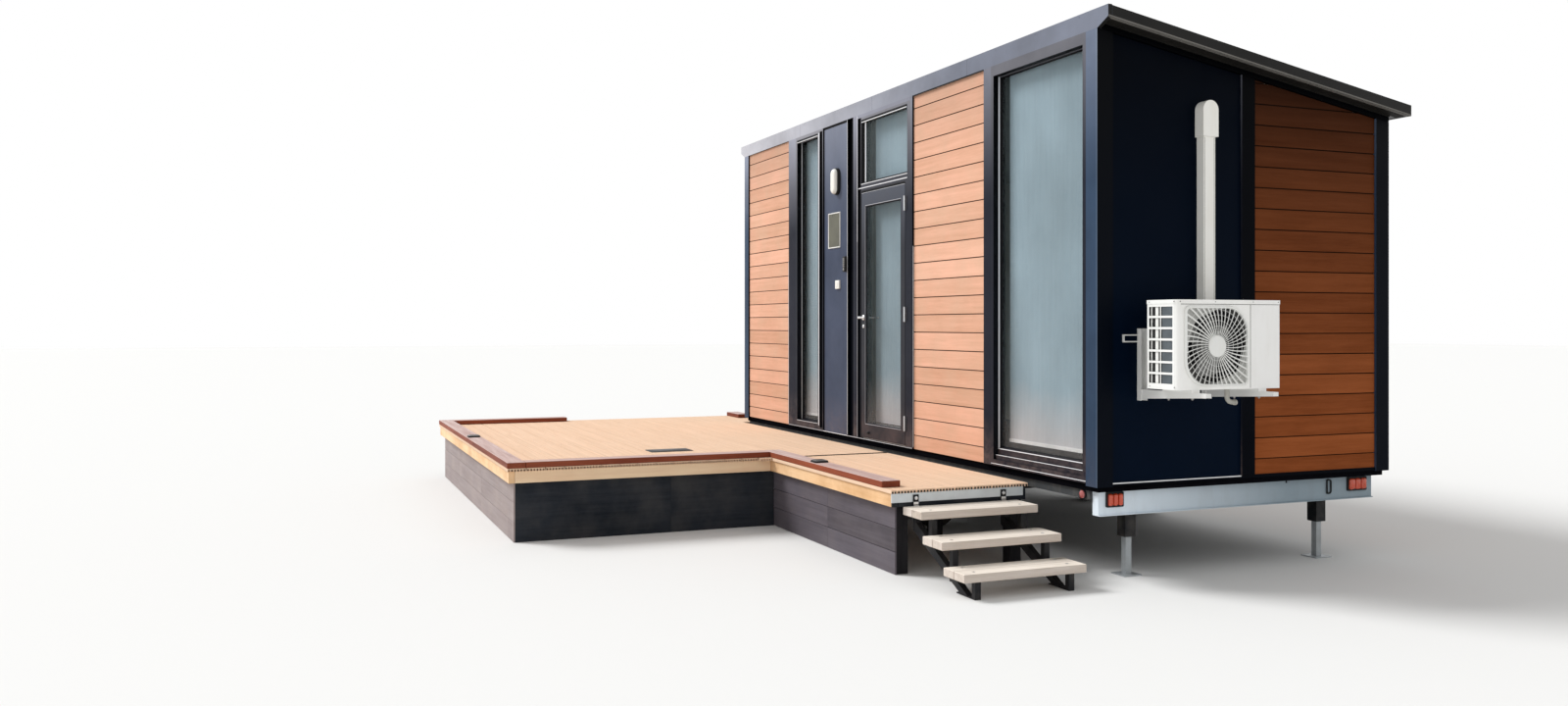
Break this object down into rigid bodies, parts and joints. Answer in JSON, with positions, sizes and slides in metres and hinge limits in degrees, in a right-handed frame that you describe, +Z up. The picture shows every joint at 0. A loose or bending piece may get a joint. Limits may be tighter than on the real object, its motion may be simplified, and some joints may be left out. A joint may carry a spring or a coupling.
{
  "type": "tiny house",
  "caption": "Tiny house on a road trailer with timber and dark cladding, big windows, an outdoor unit, and a timber deck with steps.",
  "frame": {"origin": "on the ground below the middle of the whole object, deck and drawbar included", "axes": "+X along the front wall towards the end with the outdoor unit, +Y from the deck to the back wall, +Z up"},
  "size_m": [8.2398, 5.79, 3.655],
  "materials": {
    "floor_board": "matte",
    "wall_lining": "matte",
    "roof_sheet": "satin",
    "dark_trim": "satin",
    "dark_panel": "satin",
    "cladding_timber": "matte",
    "window_frame": "satin",
    "window_glass": "gloss",
    "blind_cloth": "matte",
    "white_trim": "satin",
    "bright_metal": "satin",
    "lamp_plastic": "gloss",
    "dark_plate": "satin",
    "dark_plastic": "matte",
    "white_metal": "satin",
    "fan_plastic": "matte",
    "white_plastic": "matte",
    "galvanised": "satin",
    "lamp_red": "gloss",
    "black_steel": "satin",
    "tyre": "matte",
    "wheel_white": "gloss",
    "pine": "matte",
    "decking_timber": "matte",
    "kerb_timber": "satin",
    "skirt_board": "matte",
    "tread_timber": "matte"
  },
  "bodies": {
    "house": {"floor": "floor_board", "front_wall_left": "wall_lining", "front_wall_right": "wall_lining", "front_wall_head": "wall_lining", "back_wall": "wall_lining", "end_wall_right": "wall_lining", "end_wall_left": "wall_lining", "roof": "roof_sheet", "roof_flashings": "dark_trim", "timber_front": "cladding_timber", "timber_ends": "cladding_timber", "timber_back": "cladding_timber", "dark_panels": "dark_panel", "corner_trims": "dark_trim", "wall_trims": "dark_trim", "front_window_frames": "window_frame", "rear_window_frames": "window_frame", "window_glass": "window_glass", "roller_blinds": "blind_cloth", "blind_rails": "white_trim", "door_frame": "window_frame", "door_blind": "blind_cloth", "door_hinges": "bright_metal", "wall_lamp": "lamp_plastic", "plaque": "dark_plate", "wall_fittings": "dark_plastic", "ac_casing": "white_metal", "ac_fan_guard": "white_metal", "ac_bracket": "white_trim", "duct_cover": "white_plastic", "chassis": "galvanised", "rear_beam": "galvanised", "trailer_lamps": "lamp_red", "axles": "black_steel", "tyres": "tyre", "wheel_rims": "wheel_white", "mudguards": "black_steel", "jack_legs": "black_steel", "drawbar": "galvanised", "deck_frame": "pine", "decking": "decking_timber", "deck_kerbs": "kerb_timber", "deck_skirts": "skirt_board", "stair_steel": "black_steel", "stair_treads": "tread_timber", "deck_lights": "dark_plastic"},
    "door": {"door_leaf": "window_frame", "door_glass": "window_glass", "door_handle": "bright_metal"},
    "fan": {"ac_fan": "fan_plastic"}
  },
  "joints": [
    {"name": "door_hinge", "type": "hinge", "parent": "house", "child": "door", "pos_m": [0.938, 0.297, 1.742], "axis": [0, 0, 1], "range_deg": [0, 105]},
    {"name": "fan_spin", "type": "hinge", "parent": "house", "child": "fan", "pos_m": [3.94, 0.8, 1.525], "axis": [1, 0, 0], "continuous": true}
  ]
}
